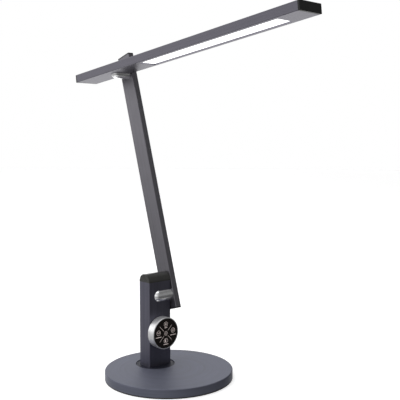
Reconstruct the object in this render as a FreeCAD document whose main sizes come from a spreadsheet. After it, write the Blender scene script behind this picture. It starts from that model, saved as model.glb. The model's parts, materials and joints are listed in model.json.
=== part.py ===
import FreeCAD, Part
import math
import os

import Sketcher

# Desk lamp with a round weighted base, a short swivelling post that carries a
# round control dial, a leaning arm beside the post and a long flat light head.
#
# Frame: millimetres, +Z up, the lamp's front is -Y, the arm is on the +X side.
# The origin is the centre of the base, on the surface that the lamp stands on.

VECTOR = FreeCAD.Vector
FULL_TURN = 360
QUARTER_TURN = 90
HEXAGON = 6
SAME = 1e-3  # mm, below which two lengths count as equal
PARALLEL = 1 - 1e-6  # least dot product of two directions that count as parallel
CENTRE_POINT = 3  # Sketcher's number for the centre of a circle
DOC = FreeCAD.newDocument("desk_lamp")

# ---------------------------------------------------------------- dimensions

CELLS = {
    # base
    "base_radius": 100.0,
    "base_top": 14.0,
    "rim_round": 1.3,
    "shell_wall": 2.0,
    "grip_thick": 1.0,
    "lip_top": 1.9,
    "lip_thick": 0.8,
    "lip_round": 0.3,
    "under_cover_thick": 1.2,
    "under_cover_gap": 0.4,
    "plate_radius": 94.0,
    "plate_low": 2.4,
    "plate_high": 10.4,
    "boss_circle": 78.0,
    "boss_radius": 4.5,
    "boss_low": 6.0,
    "boss_count": 4.0,
    "boss_turn": 45.0,
    # inlet socket
    "socket_width": 9.0,
    "socket_length": 12.0,
    "socket_low": 3.4,
    "socket_high": 11.0,
    "socket_bore": 2.75,
    "socket_depth": 9.5,
    "socket_pin": 1.05,
    "inlet_hole": 3.6,
    "channel_width": 6.0,
    # swivel
    "post_back": 34.5,
    "well_radius": 31.0,
    "well_round": 0.5,
    "disc_gap": 0.5,
    "disc_recess": 0.8,
    "disc_low": 11.05,
    "slide_high": 11.0,
    "slide_radius": 19.0,
    "spindle_radius": 7.0,
    "spindle_bore": 3.6,
    "spindle_low": 4.4,
    "spindle_flange": 9.8,
    "flange_thick": 2.2,
    "nut_low": 4.6,
    "nut_high": 6.6,
    "nut_radius": 11.5,
    "well_under": 17.0,
    "bush_low": 7.2,
    "bush_radius": 10.0,
    "stop_circle": 22.0,
    "stop_pin_radius": 1.5,
    "stop_slot_half": 1.9,
    "stop_slot_depth": 1.5,
    "stop_angle": 90.0,
    "stop_slack": 6.0,
    # post
    "post_width": 42.4,
    "post_depth": 25.4,
    "post_top": 160.8,
    "post_wall": 1.8,
    "post_corner": 0.8,
    "cap_plug": 8.0,
    "foot_block_height": 18.0,
    "foot_screw_offset": 14.5,
    # boards in the post
    "board_low": 40.0,
    "board_high": 102.0,
    "board_width": 30.0,
    "board_thick": 1.6,
    "standoff_radius": 2.0,
    "standoff_edge": 3.0,
    "standoff_end": 5.0,
    "coil_radius": 5.5,
    "coil_thick": 6.0,
    "coil_rise": 42.0,
    "reservoir_radius": 3.2,
    "reservoir_high": 9.0,
    "reservoir_rise": 14.0,
    "reservoir_left": -6.0,
    "reservoir_right": 3.0,
    "chip_half": 3.0,
    "driver_chip_thick": 1.6,
    "driver_chip_rise": 27.0,
    "plug_left": 6.0,
    "plug_right": 13.0,
    "plug_thick": 5.0,
    "plug_low": 22.0,
    "plug_high": 34.0,
    "lead_rise": 5.0,
    "lead_set_back": 6.0,
    # dial
    "dial_height": 67.8,
    "dial_radius": 25.25,
    "dial_front": 14.6,
    "dial_gap": 1.0,
    "ring_wall": 1.5,
    "ring_round": 1.0,
    "ring_web_near": 3.0,
    "ring_web_far": 6.0,
    "hub_radius": 19.5,
    "hub_wall": 2.0,
    "hub_floor": 2.0,
    "hub_front": 9.4,
    "hub_flange": 23.2,
    "hub_flange_thick": 1.9,
    "panel_radius": 23.4,
    "panel_round": 0.4,
    "panel_back": 13.0,
    "panel_front": 14.3,
    "dial_screw_circle": 12.0,
    "dial_screw_count": 3.0,
    "wire_hole": 5.0,
    # hinges, shared by both
    "arm_gap": 1.0,
    "dome_start": -1.8,
    "spring_seat": 6.0,
    "barrel_end_gap": 0.3,
    "spacer_thick": 1.0,
    "bush_length": 4.8,
    "shaft_end": 0.6,
    "hinge_nut_thick": 2.4,
    "shaft_head_thick": 2.4,
    "cap_spigot": 2.0,
    "cap_cavity": 4.7,
    "port_place": -4.0,
    "port_radius": 1.4,
    "cap_wall": 1.5,
    "clamp_screw_first": 3.0,
    "clamp_screw_second": 10.0,
    "clamp_wall": 2.2,
    "clamp_face": 0.5,
    "shaft_ratio": 0.39,
    "bore_ratio": 0.185,
    "bush_ratio": 0.585,
    "cavity_ratio": 0.79,
    "hinge_nut_ratio": 0.67,
    "spacer_ratio": 0.79,
    "shaft_head_ratio": 0.87,
    "spring_count": 3.0,
    # lower hinge
    "pivot_height": 124.8,
    "pivot_sink": 4.5,
    "lower_barrel_radius": 10.3,
    # arm
    "arm_span": 372.0,
    "arm_width": 31.2,
    "arm_thick": 10.6,
    "arm_wall": 1.6,
    "arm_corner": 1.2,
    "arm_back_set": 4.2,
    "arm_lean": 16.7,
    "arm_tail": 24.6,
    "arm_tip": 34.8,
    "arm_plug_lip": 1.8,
    "arm_plug_depth": 8.0,
    "arm_lead_in": 1.2,
    # upper hinge and head
    "upper_barrel_radius": 8.1,
    "head_pitch": 6.3,
    "head_width": 42.4,
    "head_height": 13.2,
    "head_front": 413.0,
    "head_rear": 93.0,
    "head_wall": 1.8,
    "head_corner": 0.9,
    "head_cap_lip": 3.0,
    "head_cap_depth": 8.0,
    # light panel
    "window_start": 82.0,
    "window_end": 371.0,
    "window_width": 30.0,
    "diffuser_thick": 1.5,
    "diffuser_lap": 3.0,
    "guide_width": 31.2,
    "guide_thick": 3.0,
    "reflector_thick": 0.3,
    "chip_deep": 0.7,
    "chip_long": 3.2,
    "chip_high": 1.8,
    "chip_count": 20.0,
    "strip_thick": 0.8,
    "strip_high": 3.5,
    "spreader_low": 7.0,
    "spreader_thick": 1.5,
    "foam_count": 4.0,
    "foam_left": 5.0,
    "foam_right": 15.0,
    "foam_length": 20.0,
    "head_lead_reach": 10.0,
    # small parts and clearances
    "lead_radius": 0.9,
    "lead_bend": 3.5,
    "fit_gap": 0.05,
    "easy_gap": 0.1,
    "envelope_gap": 0.15,
    "free_gap": 0.3,
    "screw_radius": 1.95,
    "screw_head": 3.6,
    "screw_head_thick": 1.3,
    "small_screw": 1.2,
    "small_head": 2.2,
    "small_head_thick": 1.6,
    "hinge_screw": 1.5,
    "hinge_screw_head": 2.6,
    "margin": 1.0,
}

SHEET = DOC.addObject("Spreadsheet::Sheet", "Dims")
for row, (alias, number) in enumerate(CELLS.items(), start=1):
    cell = f"A{row}"
    SHEET.set(cell, str(number))
    SHEET.setAlias(cell, alias)
DOC.recompute()


class Size:
    """A number worked out from the sheet, kept as its expression and its value."""

    def __init__(self, text, value):
        self.text = text
        self.value = value

    def __add__(self, other):
        other = as_size(other)
        return Size(f"({self.text} + {other.text})", self.value + other.value)

    def __sub__(self, other):
        other = as_size(other)
        return Size(f"({self.text} - {other.text})", self.value - other.value)

    def __mul__(self, other):
        other = as_size(other)
        return Size(f"({self.text} * {other.text})", self.value * other.value)

    def __truediv__(self, other):
        other = as_size(other)
        return Size(f"({self.text} / {other.text})", self.value / other.value)

    def __rsub__(self, other):
        return as_size(other) - self

    def __neg__(self):
        return Size(f"(0 - {self.text})", -self.value)

    __radd__ = __add__
    __rmul__ = __mul__


def as_size(thing):
    """A Size from a Size or a plain number."""
    if isinstance(thing, Size):
        return thing
    return Size(str(float(thing)), float(thing))


class Sheet:
    """Reads a cell by its alias as a Size."""

    def __getattr__(self, alias):
        return Size(f"Dims.{alias}", CELLS[alias])


D = Sheet()


def sine(angle):
    """Sine of an angle in degrees."""
    return Size(f"sin({angle.text} * 1 deg)", math.sin(math.radians(angle.value)))


def cosine(angle):
    """Cosine of an angle in degrees."""
    return Size(f"cos({angle.text} * 1 deg)", math.cos(math.radians(angle.value)))


def bind(thing, prop, size):
    """Bind a property to the sheet."""
    thing.setExpression(prop, as_size(size).text)


# ---------------------------------------------------------------- frames

PIVOT_Y = D.post_back - D.post_depth / 2 + D.pivot_sink
UPPER_Y = PIVOT_Y + D.arm_span * sine(D.arm_lean)
UPPER_Z = D.pivot_height + D.arm_span * cosine(D.arm_lean)

# name of the frame: its origin's Y and Z, and its turn about X
FRAMES = {
    "base": (0, 0, None),
    "post": (D.post_back, 0, None),
    "dial": (D.post_back - D.post_depth / 2, D.dial_height, None),
    "post_pivot": (PIVOT_Y, D.pivot_height, None),
    "arm": (PIVOT_Y, D.pivot_height, -D.arm_lean),
    "arm_top": (UPPER_Y, UPPER_Z, -D.arm_lean),
    "head": (UPPER_Y, UPPER_Z, -D.head_pitch),
}

NODES = []


def node(label, thing, frame):
    """Name a finished piece and put it in its frame."""
    origin_y, origin_z, turn = FRAMES[frame]
    thing.Label = label
    if turn is not None:
        thing.Placement = FreeCAD.Placement(VECTOR(), FreeCAD.Rotation(VECTOR(1, 0, 0), turn.value))
        thing.setExpression("Placement.Rotation.Angle", f"{turn.text} * 1 deg")
    bind(thing, "Placement.Base.y", origin_y)
    bind(thing, "Placement.Base.z", origin_z)
    NODES.append(thing)
    return thing


# ---------------------------------------------------------------- primitives and booleans

AXIS_TURNS = {
    "x": FreeCAD.Rotation(VECTOR(0, 1, 0), QUARTER_TURN),
    "y": FreeCAD.Rotation(VECTOR(1, 0, 0), -QUARTER_TURN),
    "z": FreeCAD.Rotation(),
}
UNIT = {"x": (1, 0, 0), "y": (0, 1, 0), "z": (0, 0, 1)}


def put(thing, corner):
    """Bind the place of a primitive."""
    for letter, size in zip("xyz", corner):
        bind(thing, f"Placement.Base.{letter}", size)


def block(name, low, high):
    """A box between two corners."""
    thing = DOC.addObject("Part::Box", name)
    for prop, start, end in zip(("Length", "Width", "Height"), low, high):
        bind(thing, prop, as_size(end) - start)
    put(thing, low)
    return thing


def rod(name, radius, start, length, axis):
    """A cylinder that runs from a point along +X, +Y or +Z."""
    thing = DOC.addObject("Part::Cylinder", name)
    bind(thing, "Radius", radius)
    bind(thing, "Height", length)
    thing.Placement = FreeCAD.Placement(VECTOR(), AXIS_TURNS[axis])
    put(thing, start)
    return thing


def hex_rod(name, radius, start, length, axis):
    """A hexagonal bar that runs from a point along +X, +Y or +Z."""
    thing = DOC.addObject("Part::Prism", name)
    thing.Polygon = HEXAGON
    bind(thing, "Circumradius", radius)
    bind(thing, "Height", length)
    thing.Placement = FreeCAD.Placement(VECTOR(), AXIS_TURNS[axis])
    put(thing, start)
    return thing


def fuse(name, pieces):
    """Join pieces into one solid."""
    thing = DOC.addObject("Part::MultiFuse", name)
    thing.Shapes = pieces
    return thing


def group(name, pieces):
    """Keep pieces together as separate solids."""
    thing = DOC.addObject("Part::Compound", name)
    thing.Links = pieces
    return thing


def cut(name, base, tools):
    """Cut tools out of a base."""
    thing = DOC.addObject("Part::Cut", name)
    thing.Base = base
    thing.Tool = tools[0] if len(tools) == 1 else group(f"{name}_tools", tools)
    return thing


def common(name, first, second):
    """What two pieces share."""
    thing = DOC.addObject("Part::Common", name)
    thing.Base = first
    thing.Tool = second
    return thing


def shifted(start, axis, amount):
    """A point moved along an axis."""
    return tuple(as_size(place) + amount * step for place, step in zip(start, UNIT[axis]))


def ring(name, outer, inner, start, length, axis):
    """A tube or washer that runs from a point along an axis."""
    body = rod(f"{name}_outer", outer, start, length, axis)
    hole_start = shifted(start, axis, -D.margin)
    hole = rod(f"{name}_hole", inner, hole_start, length + 2 * D.margin, axis)
    return cut(f"{name}_ring", body, [hole])


def around(count, radius, turn):
    """Places on a circle, as pairs of X and Y."""
    places = []
    for step in range(int(count.value)):
        angle = turn + as_size(FULL_TURN * step) / count
        places.append((radius * cosine(angle), radius * sine(angle)))
    return places


def screw(name, start, axis, shank, length, head, head_thick):
    """A screw whose head's outer face is at the start, with the shank along the axis."""
    cap = rod(f"{name}_head", head, start, head_thick, axis)
    stem = rod(f"{name}_shank", shank, start, length, axis)
    return fuse(f"{name}_screw", [cap, stem])


# ---------------------------------------------------------------- part design bodies


def new_body(name):
    """An empty body."""
    return DOC.addObject("PartDesign::Body", f"{name}_body")


def plane_of(body, role):
    """An origin plane of a body."""
    for feature in body.Origin.OriginFeatures:
        if feature.Role == role:
            return feature
    raise ValueError(role)


def sketch_on(body, name, role, offset=(0, 0, 0)):
    """A sketch on an origin plane, moved by an offset in the plane's own axes."""
    sketch = body.newObject("Sketcher::SketchObject", name)
    sketch.AttachmentSupport = [(plane_of(body, role), "")]
    sketch.MapMode = "FlatFace"
    for letter, size in zip("xyz", offset):
        bind(sketch, f"AttachmentOffset.Base.{letter}", size)
    return sketch


def add_outline(sketch, points):
    """A closed outline of straight runs, each corner held by the sheet."""
    first = sketch.GeometryCount
    corners = [VECTOR(as_size(across).value, as_size(up).value, 0) for across, up in points]
    for start, end in zip(corners, corners[1:] + corners[:1]):
        sketch.addGeometry(Part.LineSegment(start, end), False)
    for step, (across, up) in enumerate(points):
        line = first + step
        following = first + (step + 1) % len(points)
        sketch.addConstraint(Sketcher.Constraint("Coincident", line, 2, following, 1))
        for kind, size in (("DistanceX", across), ("DistanceY", up)):
            held = Sketcher.Constraint(kind, -1, 1, line, 1, as_size(size).value)
            index = sketch.addConstraint(held)
            bind(sketch, f"Constraints[{index}]", size)


def add_rectangle(sketch, width, depth, centre=(0, 0)):
    """A rectangle about a centre."""
    half_width = as_size(width) / 2
    half_depth = as_size(depth) / 2
    mid_across = as_size(centre[0])
    mid_up = as_size(centre[1])
    add_outline(sketch, [
        (mid_across - half_width, mid_up - half_depth),
        (mid_across + half_width, mid_up - half_depth),
        (mid_across + half_width, mid_up + half_depth),
        (mid_across - half_width, mid_up + half_depth),
    ])


def add_circle(sketch, radius, centre=(0, 0)):
    """A circle about a centre."""
    across = as_size(centre[0])
    up = as_size(centre[1])
    radius = as_size(radius)
    middle = VECTOR(across.value, up.value, 0)
    shape = Part.Circle(middle, VECTOR(0, 0, 1), radius.value)
    line = sketch.addGeometry(shape, False)
    held = [
        (Sketcher.Constraint("Radius", line, radius.value), radius),
        (Sketcher.Constraint("DistanceX", -1, 1, line, CENTRE_POINT, across.value), across),
        (Sketcher.Constraint("DistanceY", -1, 1, line, CENTRE_POINT, up.value), up),
    ]
    for constraint, size in held:
        index = sketch.addConstraint(constraint)
        bind(sketch, f"Constraints[{index}]", size)


def pad(body, name, sketch, length):
    """Raise a sketch along its normal."""
    feature = body.newObject("PartDesign::Pad", name)
    feature.Profile = sketch
    bind(feature, "Length", length)
    body.Tip = feature
    DOC.recompute()
    return feature


def pocket(body, name, sketch, length, reverse=False):
    """Sink a sketch into the body, and check that it removed something."""
    before = body.Shape.Volume
    feature = body.newObject("PartDesign::Pocket", name)
    feature.Profile = sketch
    feature.Reversed = reverse
    bind(feature, "Length", length)
    body.Tip = feature
    DOC.recompute()
    if body.Shape.Volume >= before:
        raise ValueError(f"{name} removed nothing")
    return feature


def round_edges(body, name, chosen, radius):
    """Round the edges of a body that a test picks."""
    base = body.Tip
    names = []
    for number, edge in enumerate(base.Shape.Edges, start=1):
        if chosen(edge):
            names.append(f"Edge{number}")
    feature = body.newObject("PartDesign::Fillet", name)
    feature.Base = (base, names)
    bind(feature, "Radius", radius)
    body.Tip = feature
    DOC.recompute()
    return feature


def turned(name, axis, points):
    """A turned piece about X, Y or Z, from pairs of place along the axis and radius."""
    body = new_body(name)
    role = "XY_Plane" if axis == "y" else "XZ_Plane"
    sketch = sketch_on(body, f"{name}_profile", role)
    if axis == "x":
        add_outline(sketch, points)
    else:
        add_outline(sketch, [(radius, along) for along, radius in points])
    feature = body.newObject("PartDesign::Revolution", f"{name}_turn")
    feature.Profile = sketch
    feature.ReferenceAxis = (sketch, ["H_Axis" if axis == "x" else "V_Axis"])
    feature.Angle = FULL_TURN
    body.Tip = feature
    DOC.recompute()
    return body


def runs_along(edge, axis):
    """True for a straight edge along an axis."""
    if edge.Curve.TypeId != "Part::GeomLine":
        return False
    return abs(edge.Curve.Direction.dot(VECTOR(*UNIT[axis]))) > PARALLEL


def straight_outer(axis, half_across, half_up, middle=(0, 0)):
    """A test for the outer corner edges of a bar that runs along an axis."""
    others = [letter for letter in "xyz" if letter != axis]

    def chosen(edge):
        if not runs_along(edge, axis):
            return False
        centre = edge.CenterOfMass
        across = abs(getattr(centre, others[0]) - as_size(middle[0]).value)
        up = abs(getattr(centre, others[1]) - as_size(middle[1]).value)
        return abs(across - half_across.value) < SAME and abs(up - half_up.value) < SAME

    return chosen


def circle_at(radius, place, axis):
    """A test for a circular edge of a radius at a place along an axis."""

    def chosen(edge):
        if edge.Curve.TypeId != "Part::GeomCircle":
            return False
        same_radius = abs(edge.Curve.Radius - radius.value) < SAME
        return same_radius and abs(getattr(edge.Curve.Center, axis) - as_size(place).value) < SAME

    return chosen


# ---------------------------------------------------------------- leads


def bent_path(points, bend):
    """Straight runs joined by tangent arcs."""
    corners = [VECTOR(*[as_size(size).value for size in point]) for point in points]
    edges = []
    start = corners[0]
    for before, corner, after in zip(corners, corners[1:], corners[2:]):
        back = (before - corner).normalize()
        onward = (after - corner).normalize()
        half_turn = (math.pi - back.getAngle(onward)) / 2
        reach = bend * math.tan(half_turn)
        arc_start = corner + back * reach
        arc_end = corner + onward * reach
        inward = (back + onward).normalize()
        centre = corner + inward * (bend / math.cos(half_turn))
        middle = centre - inward * bend
        edges.append(Part.LineSegment(start, arc_start).toShape())
        edges.append(Part.Arc(arc_start, middle, arc_end).toShape())
        start = arc_end
    edges.append(Part.LineSegment(start, corners[-1]).toShape())
    return Part.Wire(edges)


def lead(name, points, bend):
    """A round lead along a bent path."""
    path = bent_path(points, bend.value)
    first = path.Edges[0]
    start = first.valueAt(first.FirstParameter)
    direction = first.tangentAt(first.FirstParameter)
    section = Part.Wire(Part.Circle(start, direction, D.lead_radius.value).toShape())
    thing = DOC.addObject("Part::Feature", f"{name}_route")
    thing.Shape = path.makePipeShell([section], True, True)
    return thing


# ---------------------------------------------------------------- base

SHELL_INNER = D.base_radius - D.shell_wall
SHELL_UNDER = D.base_top - D.shell_wall
LIP_INNER = D.base_radius - D.lip_thick
LIP_SEAT = LIP_INNER - D.fit_gap
LIP_LEDGE = D.lip_top + D.fit_gap
UNDER_COVER_TOP = D.grip_thick + D.under_cover_thick
SOCKET_MIDDLE = (D.socket_low + D.socket_high) / 2
LEAD_LEVEL = UNDER_COVER_TOP + D.lead_radius + D.easy_gap
BOSSES = around(D.boss_count, D.boss_circle, D.boss_turn)


def make_base_cover():
    shell = turned("base_cover", "z", [
        (D.base_top, 0),
        (D.base_top, D.base_radius),
        (LIP_LEDGE, D.base_radius),
        (LIP_LEDGE, LIP_SEAT),
        (D.grip_thick, LIP_SEAT),
        (D.grip_thick, SHELL_INNER),
        (SHELL_UNDER, SHELL_INNER),
        (SHELL_UNDER, 0),
    ])
    well = sketch_on(shell, "base_well", "XY_Plane", (0, D.post_back, D.base_top))
    add_circle(well, D.well_radius)
    pocket(shell, "base_well_cut", well, D.shell_wall + D.margin)
    bosses = sketch_on(shell, "base_bosses", "XY_Plane", (0, 0, D.boss_low))
    for place in BOSSES:
        add_circle(bosses, D.boss_radius, place)
    pad(shell, "base_boss_pad", bosses, SHELL_UNDER - D.boss_low)
    taps = sketch_on(shell, "base_taps", "XY_Plane", (0, 0, D.boss_low))
    for place in BOSSES:
        add_circle(taps, D.screw_radius + D.fit_gap, place)
    pocket(shell, "base_tap_cut", taps, SHELL_UNDER - D.boss_low - D.margin, True)
    inlet = sketch_on(shell, "base_inlet", "XZ_Plane", (0, SOCKET_MIDDLE, -D.base_radius - D.margin))
    add_circle(inlet, D.inlet_hole)
    pocket(shell, "base_inlet_cut", inlet, D.shell_wall + 3 * D.margin, True)
    round_edges(shell, "base_rim", circle_at(D.base_radius, D.base_top, "z"), D.rim_round)
    round_edges(shell, "base_well_rim", circle_at(D.well_radius, D.base_top, "z"), D.well_round)
    node("base_cover", shell, "base")


def make_weight_plate():
    plate = new_body("base_weight_plate")
    disc = sketch_on(plate, "plate_disc", "XY_Plane", (0, 0, D.plate_low))
    add_circle(disc, D.plate_radius)
    pad(plate, "plate_pad", disc, D.plate_high - D.plate_low)
    bearing = sketch_on(plate, "plate_bearing", "XY_Plane", (0, D.post_back, D.plate_high))
    add_circle(bearing, D.bush_radius + D.fit_gap)
    pocket(plate, "plate_bearing_cut", bearing, D.plate_high - D.plate_low)
    under = sketch_on(plate, "plate_under", "XY_Plane", (0, D.post_back, D.plate_low))
    add_circle(under, D.well_under)
    pocket(plate, "plate_under_cut", under, D.bush_low - D.plate_low, True)
    holes = sketch_on(plate, "plate_holes", "XY_Plane", (0, 0, D.plate_low))
    for place in BOSSES:
        add_circle(holes, D.screw_radius + D.free_gap, place)
    pocket(plate, "plate_hole_cut", holes, D.plate_high - D.plate_low, True)
    seats = sketch_on(plate, "plate_seats", "XY_Plane", (0, 0, D.plate_high))
    for place in BOSSES:
        add_circle(seats, D.boss_radius + D.free_gap, place)
    pocket(plate, "plate_seat_cut", seats, D.plate_high - D.boss_low + D.fit_gap)
    half_socket = D.socket_width / 2 + D.free_gap
    bay_front = D.base_radius - D.shell_wall - D.socket_length - D.margin
    bay = sketch_on(plate, "plate_bay", "XY_Plane", (0, 0, D.plate_high))
    bay_middle = (bay_front + D.base_radius) / 2
    add_rectangle(bay, 2 * half_socket, D.base_radius - bay_front, (0, bay_middle))
    pocket(plate, "plate_bay_cut", bay, D.plate_high - D.plate_low)
    channel = sketch_on(plate, "plate_channel", "XY_Plane", (0, 0, D.plate_low))
    channel_end = bay_front + D.margin
    channel_middle = (D.post_back + channel_end) / 2
    add_rectangle(channel, D.channel_width, channel_end - D.post_back, (0, channel_middle))
    pocket(plate, "plate_channel_cut", channel, D.bush_low - D.plate_low - D.margin, True)
    pin_hole = sketch_on(plate, "plate_pin", "XY_Plane", (0, D.post_back - D.stop_circle, D.plate_high))
    add_circle(pin_hole, D.stop_pin_radius + D.fit_gap)
    pocket(plate, "plate_pin_cut", pin_hole, D.plate_high - D.bush_low)
    node("base_weight_plate", plate, "base")


def make_under_cover():
    cover = new_body("base_bottom_cover")
    disc = sketch_on(cover, "under_disc", "XY_Plane", (0, 0, D.grip_thick))
    add_circle(disc, SHELL_INNER - D.under_cover_gap)
    pad(cover, "under_pad", disc, D.under_cover_thick)
    heads = sketch_on(cover, "under_heads", "XY_Plane", (0, 0, D.grip_thick))
    for place in BOSSES:
        add_circle(heads, D.screw_head + D.easy_gap, place)
    pocket(cover, "under_head_cut", heads, D.under_cover_thick, True)
    node("base_bottom_cover", cover, "base")


def make_grip_pad():
    grip = turned("base_grip_pad", "z", [
        (0, 0),
        (0, D.base_radius),
        (D.lip_top, D.base_radius),
        (D.lip_top, LIP_INNER),
        (D.grip_thick, LIP_INNER),
        (D.grip_thick, 0),
    ])
    round_edges(grip, "grip_foot", circle_at(D.base_radius, 0, "z"), D.lip_round)
    node("base_grip_pad", grip, "base")


def make_base_screws():
    screws = []
    length = SHELL_UNDER - D.grip_thick - 2 * D.margin
    for number, (across, up) in enumerate(BOSSES):
        start = (across, up, D.grip_thick + D.easy_gap)
        screws.append(screw(f"base_{number}", start, "z", D.screw_radius, length,
                            D.screw_head, D.screw_head_thick))
    node("base_screws", group("base_screw_set", screws), "base")


def make_inlet():
    back = SHELL_INNER - D.free_gap
    front = back - D.socket_length
    half = D.socket_width / 2
    case = block("socket_case", (-half, front, D.socket_low), (half, back, D.socket_high))
    bore_front = back - D.socket_depth
    bore = rod("socket_bore", D.socket_bore, (0, bore_front, SOCKET_MIDDLE),
               D.socket_depth + D.margin, "y")
    hollow = cut("socket_hollow", case, [bore])
    pin = rod("socket_pin", D.socket_pin, (0, bore_front - D.margin, SOCKET_MIDDLE),
              D.socket_depth, "y")
    node("dc_inlet_socket", fuse("socket", [hollow, pin]), "base")
    lead_start = front - D.easy_gap
    route = [
        (0, lead_start, LEAD_LEVEL),
        (0, D.post_back, LEAD_LEVEL),
        (0, D.post_back, D.disc_low),
    ]
    node("base_lead", group("base_lead_run", [lead("base", route, D.lead_radius * 2)]), "base")


def make_swivel_seat():
    hub_y = D.post_back
    bush = ring("swivel_bush", D.bush_radius, D.spindle_radius + D.fit_gap, (0, hub_y, D.bush_low),
                D.plate_high - D.bush_low, "z")
    node("swivel_bush", bush, "base")
    slide = ring("slide_washer", D.slide_radius, D.spindle_radius + D.free_gap,
                 (0, hub_y, D.plate_high), D.slide_high - D.plate_high, "z")
    node("swivel_slide_washer", slide, "base")
    pin_top = D.disc_low + D.stop_slot_depth - D.free_gap
    pin = rod("stop_pin", D.stop_pin_radius, (0, hub_y - D.stop_circle, D.bush_low + D.fit_gap),
              pin_top - D.bush_low - D.fit_gap, "z")
    node("swivel_stop_pin", group("stop_pin_piece", [pin]), "base")


# ---------------------------------------------------------------- post

DISC_TOP = D.base_top - D.disc_recess
CAP_LINE = D.post_top - D.post_depth / 2
POST_INNER_WIDTH = D.post_width - 2 * D.post_wall
POST_INNER_DEPTH = D.post_depth - 2 * D.post_wall
POST_FACE = D.post_depth / 2
ARM_FACE = D.post_width / 2 + D.arm_gap


def make_turntable():
    disc = new_body("turntable_disc")
    plate = sketch_on(disc, "turn_disc", "XY_Plane", (0, 0, D.disc_low))
    add_circle(plate, D.well_radius - D.disc_gap)
    add_circle(plate, D.spindle_radius + D.fit_gap)
    pad(disc, "turn_pad", plate, DISC_TOP - D.disc_low)
    seats = sketch_on(disc, "turn_seats", "XY_Plane", (0, 0, D.disc_low))
    holes = sketch_on(disc, "turn_holes", "XY_Plane", (0, 0, D.disc_low))
    for side in (-1, 1):
        add_circle(seats, D.screw_head + D.easy_gap, (side * D.foot_screw_offset, 0))
        add_circle(holes, D.screw_radius + D.easy_gap, (side * D.foot_screw_offset, 0))
    pocket(disc, "turn_seat_cut", seats, D.screw_head_thick + D.easy_gap, True)
    pocket(disc, "turn_hole_cut", holes, DISC_TOP - D.disc_low, True)
    round_edges(disc, "turn_rim", circle_at(D.well_radius - D.disc_gap, DISC_TOP, "z"),
                D.disc_recess / 2)
    half_sweep = D.stop_angle + D.stop_slack
    outer = rod("stop_slot_outer", D.stop_circle + D.stop_slot_half, (0, 0, D.disc_low - D.margin),
                D.stop_slot_depth + D.margin, "z")
    bind(outer, "Angle", 2 * half_sweep)
    start_angle = -QUARTER_TURN - half_sweep.value
    outer.Placement = FreeCAD.Placement(VECTOR(), FreeCAD.Rotation(VECTOR(0, 0, 1), start_angle))
    bind(outer, "Placement.Base.z", D.disc_low - D.margin)
    inner = rod("stop_slot_inner", D.stop_circle - D.stop_slot_half, (0, 0, D.disc_low - 2 * D.margin),
                D.stop_slot_depth + 3 * D.margin, "z")
    slot = cut("stop_slot", outer, [inner])
    node("turntable_disc", cut("turntable", disc, [slot]), "post")


def make_spindle():
    spindle = turned("spindle", "z", [
        (D.spindle_low, D.spindle_bore),
        (D.spindle_low, D.spindle_radius),
        (DISC_TOP + D.fit_gap, D.spindle_radius),
        (DISC_TOP + D.fit_gap, D.spindle_flange),
        (DISC_TOP + D.flange_thick, D.spindle_flange),
        (DISC_TOP + D.flange_thick, D.spindle_bore),
    ])
    node("swivel_spindle", spindle, "post")
    washer = ring("swivel_spring", D.nut_radius, D.spindle_radius + D.fit_gap,
                  (0, 0, D.nut_high + D.fit_gap), D.bush_low - D.nut_high - 2 * D.fit_gap, "z")
    node("swivel_spring_washer", washer, "post")
    nut_body = hex_rod("swivel_nut_hex", D.nut_radius, (0, 0, D.nut_low), D.nut_high - D.nut_low, "z")
    nut_bore = rod("swivel_nut_bore", D.spindle_radius + D.fit_gap, (0, 0, D.nut_low - D.margin),
                   D.nut_high - D.nut_low + 2 * D.margin, "z")
    node("swivel_nut", cut("swivel_nut_piece", nut_body, [nut_bore]), "post")


def barrel_envelope(name, radius):
    """The space that a hinge barrel and its domed cap take, about the frame's X axis."""
    reach = ARM_FACE - D.dome_start
    body = rod(f"{name}_body", radius, (D.dome_start, 0, 0), reach, "x")
    dome = DOC.addObject("Part::Sphere", f"{name}_dome")
    bind(dome, "Radius", radius)
    bind(dome, "Placement.Base.x", D.dome_start)
    return fuse(name, [body, dome])


def make_post_tube():
    tube = new_body("post_tube")
    section = sketch_on(tube, "post_section", "XY_Plane", (0, 0, DISC_TOP))
    add_rectangle(section, D.post_width, D.post_depth)
    add_rectangle(section, POST_INNER_WIDTH, POST_INNER_DEPTH)
    pad(tube, "post_pad", section, CAP_LINE - DISC_TOP)
    round_edges(tube, "post_corners", straight_outer("z", D.post_width / 2, POST_FACE), D.post_corner)
    wires = sketch_on(tube, "post_dial_holes", "XZ_Plane", (0, D.dial_height, POST_FACE + D.margin))
    add_circle(wires, D.wire_hole)
    for place in around(D.dial_screw_count, D.dial_screw_circle, D.stop_angle):
        add_circle(wires, D.small_screw + D.fit_gap, place)
    pocket(tube, "post_dial_cut", wires, D.post_wall + 2 * D.margin)
    seat = barrel_envelope("post_barrel_space", D.lower_barrel_radius + D.envelope_gap)
    bind(seat, "Placement.Base.y", D.pivot_sink - POST_FACE)
    bind(seat, "Placement.Base.z", D.pivot_height)
    node("post_tube", cut("post", tube, [seat]), "post")


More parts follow.
